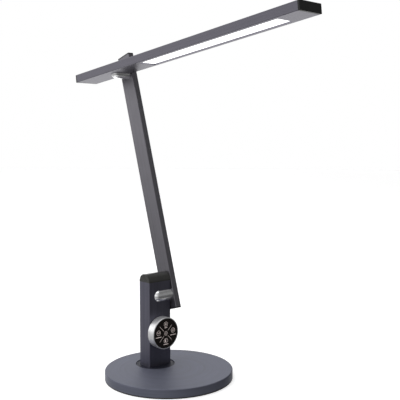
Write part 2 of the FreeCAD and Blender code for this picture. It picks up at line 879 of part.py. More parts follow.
def make_post_cap():
    half_width = D.post_width / 2
    roll = rod("cap_roll", POST_FACE, (-half_width, 0, CAP_LINE), D.post_width, "x")
    keep = block("cap_keep", (-half_width, -POST_FACE, CAP_LINE),
                 (half_width, POST_FACE, D.post_top + D.margin))
    arch = common("cap_arch", roll, keep)
    half_plug = POST_INNER_WIDTH / 2 - D.easy_gap
    plug_depth = POST_INNER_DEPTH / 2 - D.easy_gap
    plug = block("cap_plug_block", (-half_plug, -plug_depth, CAP_LINE - D.cap_plug),
                 (half_plug, plug_depth, CAP_LINE + D.post_wall))
    solid = fuse("cap_solid", [arch, plug])
    wall = D.post_wall
    hollow_start = CAP_LINE - D.cap_plug - wall
    hollow_low = block("cap_hollow_low", (wall - half_plug, wall - plug_depth, hollow_start),
                       (half_plug - wall, plug_depth - wall, CAP_LINE + wall))
    hollow_top = rod("cap_hollow_top", plug_depth - wall, (wall - half_plug, 0, CAP_LINE + wall / 2),
                     2 * (half_plug - wall), "x")
    node("post_cap", cut("post_cap_piece", solid, [fuse("cap_hollow", [hollow_low, hollow_top])]), "post")


def make_foot_block():
    half_width = POST_INNER_WIDTH / 2 - D.easy_gap
    half_depth = POST_INNER_DEPTH / 2 - D.easy_gap
    top = DISC_TOP + D.foot_block_height
    body = block("foot_block_body", (-half_width, -half_depth, DISC_TOP), (half_width, half_depth, top))
    seat = rod("foot_block_seat", D.spindle_flange + D.easy_gap, (0, 0, DISC_TOP - D.margin),
               D.flange_thick + D.margin + D.easy_gap, "z")
    passage = rod("foot_block_passage", D.wire_hole, (0, 0, DISC_TOP), D.foot_block_height + D.margin, "z")
    tools = [fuse("foot_block_core", [seat, passage])]
    screws = []
    for side, word in ((-1, "left"), (1, "right")):
        across = side * D.foot_screw_offset
        tools.append(rod(f"foot_tap_{word}", D.screw_radius + D.fit_gap, (across, 0, DISC_TOP - D.margin),
                         D.foot_block_height - D.margin, "z"))
        screws.append(screw(f"foot_{word}", (across, 0, D.disc_low + D.fit_gap), "z", D.screw_radius,
                            D.foot_block_height - 3 * D.margin, D.screw_head, D.screw_head_thick))
    node("post_foot_block", cut("foot_block", body, tools), "post")
    node("post_foot_screws", group("foot_screw_set", screws), "post")


def make_post_electronics():
    half = D.board_width / 2
    board = block("driver_board_body", (-half, -D.board_thick, D.board_low), (half, 0, D.board_high))
    node("driver_board", group("driver_board_piece", [board]), "post")
    rear = POST_INNER_DEPTH / 2 - D.fit_gap
    posts = []
    edge = half - D.standoff_edge
    for side, across in (("left", -edge), ("right", edge)):
        for level, up in (("low", D.board_low + D.standoff_end), ("high", D.board_high - D.standoff_end)):
            posts.append(rod(f"standoff_{side}_{level}", D.standoff_radius, (across, D.fit_gap, up),
                             rear - D.fit_gap, "y"))
    node("board_standoffs", group("standoff_set", posts), "post")
    seat = D.fit_gap
    coil = rod("driver_coil", D.coil_radius, (0, seat, D.board_low + D.coil_rise), D.coil_thick, "y")
    reservoirs = []
    for word, across in (("left", D.reservoir_left), ("right", D.reservoir_right)):
        start = (across, seat, D.board_low + D.reservoir_rise)
        reservoirs.append(rod(f"driver_capacitor_{word}", D.reservoir_radius, start, D.reservoir_high, "y"))
    chip_middle = D.board_low + D.driver_chip_rise
    chip = block("driver_chip", (-D.chip_half, seat, chip_middle - D.chip_half),
                 (D.chip_half, seat + D.driver_chip_thick, chip_middle + D.chip_half))
    plug = block("driver_connector", (D.plug_left, seat, D.board_low + D.plug_low),
                 (D.plug_right, seat + D.plug_thick, D.board_low + D.plug_high))
    parts = [coil, chip, plug] + reservoirs
    node("driver_components", group("driver_component_set", parts), "post")
    pivot_y = D.pivot_sink - POST_FACE
    lower = lead("post_lower", [(0, 0, D.disc_low + D.free_gap), (0, 0, D.board_low - D.easy_gap)],
                 D.lead_bend)
    mid = -D.board_thick / 2
    across = D.port_place
    upper = lead("post_upper", [
        (across, mid, D.board_high + D.easy_gap),
        (across, mid, D.board_high + D.lead_rise),
        (across, D.lead_set_back, D.board_high + 2 * D.lead_rise + D.lead_radius),
        (across, D.lead_set_back, D.pivot_height),
        (across, pivot_y + D.lead_radius, D.pivot_height),
    ], D.lead_radius * 2)
    node("post_leads", group("post_lead_set", [lower, upper]), "post")


# ---------------------------------------------------------------- dial


def make_dial():
    hub = turned("dial_hub", "y", [
        (0, D.wire_hole),
        (0, D.hub_radius),
        (-D.hub_front, D.hub_radius),
        (-D.hub_front, D.hub_flange),
        (-D.hub_front - D.hub_flange_thick, D.hub_flange),
        (-D.hub_front - D.hub_flange_thick, D.hub_radius - D.hub_wall),
        (-D.hub_floor, D.hub_radius - D.hub_wall),
        (-D.hub_floor, D.wire_hole),
    ])
    taps = sketch_on(hub, "hub_taps", "XZ_Plane", (0, 0, D.hub_floor + D.margin))
    screws = []
    length = D.hub_floor + D.small_head_thick + D.post_wall - D.easy_gap
    for number, (across, up) in enumerate(around(D.dial_screw_count, D.dial_screw_circle, D.stop_angle)):
        add_circle(taps, D.small_screw + D.fit_gap, (across, up))
        start = (across, -D.hub_floor - D.small_head_thick - D.fit_gap, up)
        screws.append(screw(f"dial_{number}", start, "y", D.small_screw, length,
                            D.small_head, D.small_head_thick))
    pocket(hub, "hub_tap_cut", taps, D.hub_floor + 2 * D.margin)
    node("dial_hub", hub, "dial")
    node("dial_screws", group("dial_screw_set", screws), "dial")
    inner = D.dial_radius - D.ring_wall
    rim = turned("dimmer_ring", "y", [
        (-D.dial_gap, inner),
        (-D.dial_gap, D.dial_radius),
        (-D.dial_front, D.dial_radius),
        (-D.dial_front, inner),
        (-D.ring_web_far, inner),
        (-D.ring_web_far, D.hub_radius + D.free_gap),
        (-D.ring_web_near, D.hub_radius + D.free_gap),
        (-D.ring_web_near, inner),
    ])
    round_edges(rim, "ring_rim", circle_at(D.dial_radius, -D.dial_front, "y"), D.ring_round)
    node("dimmer_ring", rim, "dial")
    magnet_long = D.hub_front - D.ring_wall - D.ring_web_far - D.fit_gap
    magnet = ring("ring_magnet", inner - D.free_gap, D.hub_radius + 2 * D.free_gap,
                  (0, -D.hub_front + D.ring_wall, 0), magnet_long, "y")
    node("ring_magnet", magnet, "dial")
    glass = turned("touch_panel", "y", [
        (-D.panel_back, 0),
        (-D.panel_back, D.panel_radius),
        (-D.panel_front, D.panel_radius),
        (-D.panel_front, 0),
    ])
    round_edges(glass, "panel_rim", circle_at(D.panel_radius, -D.panel_front, "y"), D.panel_round)
    node("touch_panel", glass, "dial")
    board_back = D.hub_front + D.hub_flange_thick + D.fit_gap
    board = rod("touch_board_disc", D.hub_flange - D.margin, (0, -D.panel_back + D.fit_gap, 0),
                D.panel_back - board_back - D.fit_gap, "y")
    node("touch_board", group("touch_board_piece", [board]), "dial")


# ---------------------------------------------------------------- hinges

SPACER_START = ARM_FACE - D.spacer_thick
SHAFT_SEAT = ARM_FACE + D.arm_wall


def make_barrel(name, radius, frame, block_far, across_axis):
    """The barrel of a hinge with its cap, bushes, clamp block and screws."""
    cavity = radius * D.cavity_ratio
    bush = radius * D.bush_ratio
    shaft = radius * D.shaft_ratio
    end = ARM_FACE - D.barrel_end_gap
    recess = SPACER_START - D.fit_gap
    body = turned(f"{name}_hinge_barrel", "x", [
        (D.dome_start, cavity),
        (D.dome_start, radius),
        (end, radius),
        (end, radius * D.spacer_ratio + D.free_gap),
        (recess, radius * D.spacer_ratio + D.free_gap),
        (recess, bush),
        (D.spring_seat, bush),
        (D.spring_seat, cavity),
    ])
    screw_places = (D.spring_seat + D.clamp_screw_first, D.spring_seat + D.clamp_screw_second)
    taps = []
    screws = []
    holes = []
    tap_start = bush + D.free_gap
    head_start = block_far - D.screw_head_thick - D.free_gap
    length = head_start + D.screw_head_thick - tap_start
    for number, place in enumerate(screw_places):
        start = [place, 0, 0]
        slot = "xyz".index(across_axis)
        start[slot] = tap_start
        key = f"{name}_clamp_{number}"
        taps.append(rod(f"{key}_tap", D.hinge_screw + D.fit_gap, tuple(start), radius, across_axis))
        shank = rod(f"{key}_shank", D.hinge_screw, tuple(start), length, across_axis)
        start[slot] = head_start
        head = rod(f"{key}_head", D.hinge_screw_head, tuple(start), D.screw_head_thick, across_axis)
        screws.append(fuse(f"{key}_screw", [shank, head]))
        start[slot] = head_start - D.fit_gap
        seat = rod(f"{key}_seat", D.hinge_screw_head + D.easy_gap, tuple(start), block_far, across_axis)
        start[slot] = 0
        passage = rod(f"{key}_passage", D.hinge_screw + D.easy_gap, tuple(start), block_far, across_axis)
        holes.append(fuse(f"{key}_hole", [seat, passage]))
    node(f"{name}_hinge_barrel", cut(f"{name}_barrel", body, taps), frame)
    node(f"{name}_hinge_screws", group(f"{name}_clamp_screws", screws), frame)
    bushes = []
    starts = {"inner": D.spring_seat + D.fit_gap, "outer": recess - D.bush_length - D.fit_gap}
    for word, start in starts.items():
        bushes.append(ring(f"{name}_{word}_bush", bush - D.fit_gap / 2, shaft + D.fit_gap,
                           (start, 0, 0), D.bush_length, "x"))
    node(f"{name}_hinge_bushes", group(f"{name}_bush_set", bushes), frame)
    make_barrel_cap(name, radius, cavity, frame, across_axis)
    return holes


def make_barrel_cap(name, radius, cavity, frame, across_axis):
    """The domed cap on a barrel's free end, with a port for the lead."""
    dome = DOC.addObject("Part::Sphere", f"{name}_cap_dome")
    dome.Angle1 = 0
    bind(dome, "Radius", radius)
    dome.Placement = FreeCAD.Placement(VECTOR(), FreeCAD.Rotation(VECTOR(0, 1, 0), -QUARTER_TURN))
    bind(dome, "Placement.Base.x", D.dome_start)
    spigot = rod(f"{name}_cap_spigot", cavity - D.fit_gap, (D.dome_start - D.margin, 0, 0),
                 D.cap_spigot + D.margin, "x")
    solid = fuse(f"{name}_cap_solid", [dome, spigot])
    hollow = rod(f"{name}_cap_hollow", cavity - D.cap_wall, (D.dome_start - D.cap_cavity, 0, 0),
                 D.cap_cavity + D.cap_spigot + D.margin, "x")
    port = rod(f"{name}_cap_port", D.port_radius, (D.port_place, 0, 0), 2 * radius, across_axis)
    piece = cut(f"{name}_cap", solid, [fuse(f"{name}_cap_space", [hollow, port])])
    node(f"{name}_barrel_cap", piece, frame)


def make_shaft(name, radius, frame):
    """The arm's side of a hinge: shaft, nut, disc springs and spacer washer."""
    shaft = radius * D.shaft_ratio
    bore = radius * D.bore_ratio
    head = radius * D.shaft_head_ratio
    body = turned(f"{name}_hinge_shaft", "x", [
        (D.shaft_end, bore),
        (D.shaft_end, shaft),
        (SHAFT_SEAT + D.fit_gap, shaft),
        (SHAFT_SEAT + D.fit_gap, head),
        (SHAFT_SEAT + D.shaft_head_thick, head),
        (SHAFT_SEAT + D.shaft_head_thick, bore),
    ])
    node(f"{name}_hinge_shaft", body, frame)
    nut_start = D.shaft_end + D.free_gap
    nut = hex_rod(f"{name}_nut_hex", radius * D.hinge_nut_ratio, (nut_start, 0, 0),
                  D.hinge_nut_thick, "x")
    hole = rod(f"{name}_nut_hole", shaft + D.fit_gap / 2, (nut_start - D.margin, 0, 0),
               D.hinge_nut_thick + 2 * D.margin, "x")
    node(f"{name}_hinge_nut", cut(f"{name}_nut", nut, [hole]), frame)
    first = nut_start + D.hinge_nut_thick + D.fit_gap
    pitch = (D.spring_seat - D.fit_gap - first) / D.spring_count
    springs = []
    for number in range(int(D.spring_count.value)):
        springs.append(ring(f"{name}_spring_{number}", radius * D.cavity_ratio - 2 * D.free_gap,
                            shaft + D.easy_gap, (first + number * pitch, 0, 0), pitch - D.fit_gap, "x"))
    node(f"{name}_disc_springs", group(f"{name}_spring_set", springs), frame)
    washer = ring(f"{name}_spacer", radius * D.spacer_ratio, shaft + D.fit_gap, (SPACER_START, 0, 0),
                  D.spacer_thick - D.fit_gap, "x")
    node(f"{name}_spacer_washer", washer, frame)


def make_lower_hinge():
    rear = POST_INNER_DEPTH / 2 + POST_FACE - D.pivot_sink - D.easy_gap
    holes = make_barrel("lower", D.lower_barrel_radius, "post_pivot", rear, "y")
    half_height = D.lower_barrel_radius + D.clamp_wall
    right = POST_INNER_WIDTH / 2 - D.easy_gap
    body = block("post_clamp_body", (D.dome_start + D.free_gap, D.clamp_face, -half_height),
                 (right, rear, half_height))
    space = rod("post_clamp_space", D.lower_barrel_radius + D.fit_gap, (D.dome_start, 0, 0),
                ARM_FACE - D.dome_start, "x")
    clamp = cut("post_clamp_seat", body, [space])
    node("post_hinge_block", cut("post_clamp", clamp, holes), "post_pivot")
    make_shaft("lower", D.lower_barrel_radius, "arm")


def make_upper_hinge():
    ceiling = D.head_height - D.head_wall - D.fit_gap
    holes = make_barrel("upper", D.upper_barrel_radius, "head", ceiling, "z")
    half_length = D.upper_barrel_radius + D.clamp_wall
    right = D.head_width / 2 - D.head_wall - D.easy_gap
    body = block("head_clamp_body", (D.dome_start + D.free_gap, -half_length, D.head_wall + D.fit_gap),
                 (right, half_length, ceiling))
    space = rod("head_clamp_space", D.upper_barrel_radius + D.fit_gap, (D.dome_start, 0, 0),
                ARM_FACE - D.dome_start, "x")
    clamp = cut("head_clamp_seat", body, [space])
    node("head_hinge_block", cut("head_clamp", clamp, holes), "head")
    make_shaft("upper", D.upper_barrel_radius, "arm_top")


# ---------------------------------------------------------------- arm

ARM_MIDDLE = ARM_FACE + D.arm_thick / 2


def make_arm():
    low = D.arm_plug_lip - D.arm_tail
    high = D.arm_span + D.arm_tip - D.arm_plug_lip
    tube = new_body("arm_tube")
    section = sketch_on(tube, "arm_section", "XY_Plane", (0, 0, low))
    middle = (ARM_MIDDLE, D.arm_back_set)
    add_rectangle(section, D.arm_thick, D.arm_width, middle)
    add_rectangle(section, D.arm_thick - 2 * D.arm_wall, D.arm_width - 2 * D.arm_wall, middle)
    pad(tube, "arm_pad", section, high - low)
    corners = straight_outer("z", D.arm_thick / 2, D.arm_width / 2, middle)
    round_edges(tube, "arm_corners", corners, D.arm_corner)
    holes = (("low", 0, D.lower_barrel_radius), ("high", D.arm_span, D.upper_barrel_radius))
    for word, up, radius in holes:
        hole = sketch_on(tube, f"arm_{word}_hole", "YZ_Plane", (0, up, ARM_FACE - D.margin))
        add_circle(hole, radius * D.shaft_ratio + D.fit_gap)
        pocket(tube, f"arm_{word}_cut", hole, D.arm_wall + 2 * D.margin, True)
    node("arm_tube", tube, "arm")
    plugs = [arm_plug("low", -D.arm_tail, 1), arm_plug("high", D.arm_span + D.arm_tip, -1)]
    node("arm_end_plugs", group("arm_plug_set", plugs), "arm")
    far = ARM_FACE + D.arm_wall + D.lead_bend + D.arm_lead_in
    start = D.dome_start - D.lead_radius
    route = [(start, 0, 0), (far, 0, 0), (far, 0, D.arm_span), (start, 0, D.arm_span)]
    node("arm_lead", group("arm_lead_run", [lead("arm", route, D.lead_bend)]), "arm")


def between(first, second):
    """Two sizes, the smaller one first."""
    return (first, second) if as_size(first).value < as_size(second).value else (second, first)


def arm_plug(word, end, inward):
    """A plug in one end of the arm: a lip flush with the tube and a hollow spigot."""
    half_thick = D.arm_thick / 2
    half_width = D.arm_width / 2
    lip_low, lip_high = between(end, end + inward * D.arm_plug_lip)
    lip = new_body(f"arm_plug_{word}")
    outline = sketch_on(lip, f"arm_plug_{word}_outline", "XY_Plane", (0, 0, lip_low))
    add_rectangle(outline, D.arm_thick, D.arm_width, (ARM_MIDDLE, D.arm_back_set))
    pad(lip, f"arm_plug_{word}_pad", outline, lip_high - lip_low)
    corners = straight_outer("z", half_thick, half_width, (ARM_MIDDLE, D.arm_back_set))
    round_edges(lip, f"arm_plug_{word}_corners", corners, D.arm_corner)
    spigot_thick = half_thick - D.arm_wall - D.easy_gap
    spigot_width = half_width - D.arm_wall - D.easy_gap
    near, far = between(end + inward * D.arm_plug_lip / 2, end + inward * D.arm_plug_depth)
    spigot = block(f"arm_spigot_{word}",
                   (ARM_MIDDLE - spigot_thick, D.arm_back_set - spigot_width, near),
                   (ARM_MIDDLE + spigot_thick, D.arm_back_set + spigot_width, far))
    wall = D.arm_wall
    deep, mouth = between(end + inward * D.arm_plug_lip, end + inward * (D.arm_plug_depth + D.margin))
    hollow = block(f"arm_spigot_hollow_{word}",
                   (ARM_MIDDLE - spigot_thick + wall, D.arm_back_set - spigot_width + wall, deep),
                   (ARM_MIDDLE + spigot_thick - wall, D.arm_back_set + spigot_width - wall, mouth))
    return cut(f"arm_plug_piece_{word}", fuse(f"arm_plug_solid_{word}", [lip, spigot]), [hollow])


# ---------------------------------------------------------------- head


def make_head_housing():
    front = D.head_cap_lip - D.head_front
    rear = D.head_rear - D.head_cap_lip
    tube = new_body("head_housing")
    section = sketch_on(tube, "head_section", "XZ_Plane", (0, D.head_height / 2, -rear))
    add_rectangle(section, D.head_width, D.head_height)
    add_rectangle(section, D.head_width - 2 * D.head_wall, D.head_height - 2 * D.head_wall)
    pad(tube, "head_pad", section, rear - front)
    half_height = D.head_height / 2
    corners = straight_outer("y", D.head_width / 2, half_height, (0, half_height))
    round_edges(tube, "head_corners", corners, D.head_corner)
    middle = -(D.window_start + D.window_end) / 2
    window = sketch_on(tube, "head_window", "XY_Plane", (0, middle, -D.margin))
    add_rectangle(window, D.window_width, D.window_end - D.window_start)
    pocket(tube, "head_window_cut", window, D.head_wall + 2 * D.margin, True)
    space = barrel_envelope("head_barrel_space", D.upper_barrel_radius + D.envelope_gap)
    node("head_housing", cut("head", tube, [space]), "head")


def make_head_cap(word, end, inward):
    """A cap on one end of the head: a lip flush with the housing and a hollow spigot."""
    half_width = D.head_width / 2
    lip_low, lip_high = between(end, end + inward * D.head_cap_lip)
    lip = new_body(f"head_cap_{word}")
    outline = sketch_on(lip, f"head_cap_{word}_outline", "XZ_Plane", (0, D.head_height / 2, -lip_high))
    add_rectangle(outline, D.head_width, D.head_height)
    pad(lip, f"head_cap_{word}_pad", outline, lip_high - lip_low)
    corners = straight_outer("y", half_width, D.head_height / 2, (0, D.head_height / 2))
    round_edges(lip, f"head_cap_{word}_corners", corners, D.head_corner)
    low = D.head_wall + D.easy_gap
    high = D.head_height - low
    side = half_width - low
    spigot_end = end + inward * (D.head_cap_lip + D.head_cap_depth)
    near, far = between(end + inward * D.head_cap_lip / 2, spigot_end)
    spigot = block(f"head_spigot_{word}", (-side, near, low), (side, far, high))
    wall = D.head_wall
    deep, mouth = between(end + inward * D.head_cap_lip,
                          end + inward * (D.head_cap_lip + D.head_cap_depth + D.margin))
    hollow = block(f"head_spigot_hollow_{word}", (wall - side, deep, low + wall),
                   (side - wall, mouth, high - wall))
    piece = cut(f"head_cap_piece_{word}", fuse(f"head_cap_solid_{word}", [lip, spigot]), [hollow])
    node(f"head_{word}_cap", piece, "head")


def stack_block(name, half_width, low, high):
    """A flat layer of the light panel, over the whole window."""
    near = -D.window_start + D.diffuser_lap
    far = -D.window_end - D.diffuser_lap
    return block(name, (-half_width, far, low), (half_width, near, high))


def make_light_panel():
    half_guide = D.guide_width / 2
    diffuser_low = D.head_wall + D.fit_gap
    guide_low = diffuser_low + D.diffuser_thick + D.fit_gap
    guide_high = guide_low + D.guide_thick
    strip_near = half_guide + D.chip_deep + 2 * D.fit_gap
    half_diffuser = strip_near + D.strip_thick
    diffuser = stack_block("diffuser_sheet", half_diffuser, diffuser_low, diffuser_low + D.diffuser_thick)
    node("diffuser_panel", group("diffuser_piece", [diffuser]), "head")
    guide = stack_block("light_guide_sheet", half_guide, guide_low, guide_high)
    node("light_guide", group("light_guide_piece", [guide]), "head")
    sheet_low = guide_high + D.fit_gap
    sheet = stack_block("reflector_layer", half_guide, sheet_low, sheet_low + D.reflector_thick)
    node("reflector_sheet", group("reflector_piece", [sheet]), "head")
    near = -D.window_start
    far = -D.window_end
    strips = []
    chips = []
    pitch = (near - far) / D.chip_count
    chip_low = guide_low + (D.guide_thick - D.chip_high) / 2
    for word, side in (("left", -1), ("right", 1)):
        inner, outer = between(side * strip_near, side * half_diffuser)
        strips.append(block(f"strip_{word}", (inner, far, guide_low),
                            (outer, near, guide_low + D.strip_high)))
        chip_inner, chip_outer = between(side * (half_guide + D.fit_gap), side * (strip_near - D.fit_gap))
        for number in range(int(D.chip_count.value)):
            start = far + pitch * (number + 0.5) - D.chip_long / 2
            chips.append(block(f"chip_{word}_{number}", (chip_inner, start, chip_low),
                               (chip_outer, start + D.chip_long, chip_low + D.chip_high)))
    node("led_strips", group("strip_set", strips), "head")
    node("led_chips", group("chip_set", chips), "head")
    half_spreader = D.head_width / 2 - D.head_wall - D.easy_gap
    spreader_high = D.spreader_low + D.spreader_thick
    spreader = stack_block("spreader_plate", half_spreader, D.spreader_low, spreader_high)
    node("heat_spreader", group("spreader_piece", [spreader]), "head")
    ceiling = D.head_height - D.head_wall - D.fit_gap
    pads = []
    for number in range(int(D.foam_count.value)):
        start = far + (near - far) * (number + 0.5) / D.foam_count
        pads.append(block(f"foam_{number}", (D.foam_left, start, spreader_high + D.fit_gap),
                          (D.foam_right, start + D.foam_length, ceiling)))
    node("foam_pads", group("pad_set", pads), "head")
    lead_level = ceiling - D.lead_radius - D.easy_gap
    across = D.port_place
    route = [
        (across, 0, D.lead_radius),
        (across, 0, lead_level),
        (across, near - D.head_lead_reach, lead_level),
    ]
    node("head_lead", group("head_lead_run", [lead("head", route, D.lead_bend)]), "head")


# ---------------------------------------------------------------- the lamp

make_base_cover()
make_weight_plate()
make_under_cover()
make_grip_pad()
make_base_screws()
make_inlet()
make_swivel_seat()
make_turntable()
make_spindle()
make_post_tube()
make_post_cap()
make_foot_block()
make_post_electronics()
make_dial()
make_lower_hinge()
make_arm()
make_upper_hinge()
make_head_housing()
make_head_cap("front", -D.head_front, 1)
make_head_cap("rear", D.head_rear, -1)
make_light_panel()
DOC.recompute()

for thing in DOC.Objects:
    if "Invalid" in thing.State or "Error" in thing.State:
        raise RuntimeError(f"{thing.Label} failed: {thing.State}")
for thing in NODES:
    if thing.Shape.isNull() or not thing.Shape.isValid():
        raise RuntimeError(f"{thing.Label} has a bad shape")

os.makedirs("parts", exist_ok=True)
for thing in NODES:
    thing.Shape.exportStep(os.path.join("parts", f"{thing.Label}.step"))
    box = thing.Shape.BoundBox
    print(f"{thing.Label}: {len(thing.Shape.Solids)} solids, {thing.Shape.Volume:.0f} mm3, "
          f"x {box.XMin:.1f}..{box.XMax:.1f} y {box.YMin:.1f}..{box.YMax:.1f} "
          f"z {box.ZMin:.1f}..{box.ZMax:.1f}")
print(f"{len(NODES)} pieces")
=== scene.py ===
import json
import math
from collections import namedtuple

import bmesh
import bpy
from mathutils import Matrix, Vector


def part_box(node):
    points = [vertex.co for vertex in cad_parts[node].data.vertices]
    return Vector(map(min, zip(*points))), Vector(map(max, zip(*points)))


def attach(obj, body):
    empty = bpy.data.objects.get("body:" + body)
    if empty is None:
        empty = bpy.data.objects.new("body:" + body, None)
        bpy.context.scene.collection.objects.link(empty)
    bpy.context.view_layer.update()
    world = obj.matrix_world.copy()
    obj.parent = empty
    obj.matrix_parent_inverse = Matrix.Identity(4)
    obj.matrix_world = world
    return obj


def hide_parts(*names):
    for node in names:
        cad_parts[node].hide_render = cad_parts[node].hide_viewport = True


# Desk lamp: a round weighted base, a swivelling post with a touch dial in a
# turning ring, a leaning arm beside the post and a flat bar head with a light
# panel. The engineered parts are the frame; this file gives them their
# finishes, adds the fine pieces that the frame leaves out, and sets the studio.

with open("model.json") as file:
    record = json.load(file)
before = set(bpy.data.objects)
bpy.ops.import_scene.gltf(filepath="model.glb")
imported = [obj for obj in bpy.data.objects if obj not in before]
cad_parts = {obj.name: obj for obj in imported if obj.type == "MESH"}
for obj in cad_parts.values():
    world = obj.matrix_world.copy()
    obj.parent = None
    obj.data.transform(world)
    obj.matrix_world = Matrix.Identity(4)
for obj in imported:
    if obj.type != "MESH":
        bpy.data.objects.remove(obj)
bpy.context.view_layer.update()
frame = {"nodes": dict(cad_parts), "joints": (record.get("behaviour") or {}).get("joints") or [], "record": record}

MM = 0.001
NODES = frame["nodes"]
JOINTS = {joint["name"]: joint for joint in frame["joints"]}
SLOTS = {part["node"]: part["material_slot"] for part in frame["record"]["subparts"]}


# ---------------------------------------------------------------- places taken from the frame

def middle(node):
    """The centre of a node's box."""
    low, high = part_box(node)
    return (low + high) / 2


def joint_place(name):
    """A point on a joint's axis."""
    return Vector(JOINTS[name]["pos_m"])


SWIVEL = joint_place("base_swivel")
DIAL = joint_place("dimmer_turn")
LOWER_PIVOT = joint_place("arm_tilt")
UPPER_PIVOT = joint_place("head_tilt")
ARM_RUN = UPPER_PIVOT - LOWER_PIVOT
ARM_LEAN = math.atan2(ARM_RUN.y, ARM_RUN.z)
HEAD_RUN = middle("head_rear_cap") - middle("head_front_cap")
HEAD_DIP = math.atan2(HEAD_RUN.z, HEAD_RUN.y)


# ---------------------------------------------------------------- colours, linear

BASE_GREY = (0.138, 0.146, 0.194)
POST_GREY = (0.150, 0.148, 0.190)
ARM_GREY = (0.186, 0.180, 0.200)
HEAD_GREY = (0.141, 0.136, 0.162)
DISC_DARK = (0.022, 0.024, 0.038)
CAP_BLACK = (0.028, 0.028, 0.026)
MOULDING_BLACK = (0.012, 0.012, 0.012)
SLEEVE_BLACK = (0.02, 0.02, 0.021)
CASE_BLACK = (0.02, 0.02, 0.022)
ACETAL_BLACK = (0.03, 0.03, 0.03)
FILM_WHITE = (0.78, 0.78, 0.77)
PHOSPHOR_YELLOW = (0.85, 0.66, 0.12)
ZINC = (0.55, 0.56, 0.6)
ALLOY = (0.5, 0.5, 0.52)
BRASS = (0.72, 0.52, 0.22)
MAGNET_GREY = (0.14, 0.14, 0.15)
WHITE = (1.0, 1.0, 1.0)

# Pairs that a texture runs between.
SILVER = ((0.80, 0.80, 0.81), (0.93, 0.93, 0.94))
GLASS_BLACK = ((0.009, 0.006, 0.005), (0.018, 0.013, 0.012))
INK = ((0.76, 0.64, 0.60), (0.98, 0.86, 0.82))
RUBBER_BLACK = ((0.012, 0.012, 0.013), (0.03, 0.03, 0.031))
FROST = ((0.86, 0.86, 0.85), (0.95, 0.95, 0.94))
PANEL_GLOW = ((0.97, 0.98, 1.0), (1.0, 0.99, 0.97))
BOARD_GREEN = ((0.05, 0.30, 0.14), (0.02, 0.13, 0.06))
GUIDE_CLEAR = ((0.96, 0.98, 0.98), (0.88, 0.93, 0.94))
FOAM_BLACK = ((0.008, 0.008, 0.008), (0.05, 0.05, 0.052))
FLOOR_PALE = ((0.93, 0.93, 0.93), (0.95, 0.95, 0.95))


# ---------------------------------------------------------------- materials

# One layer of bump: the texture that gives the height, its strength and its depth.
Bump = namedtuple("Bump", "height strength depth")


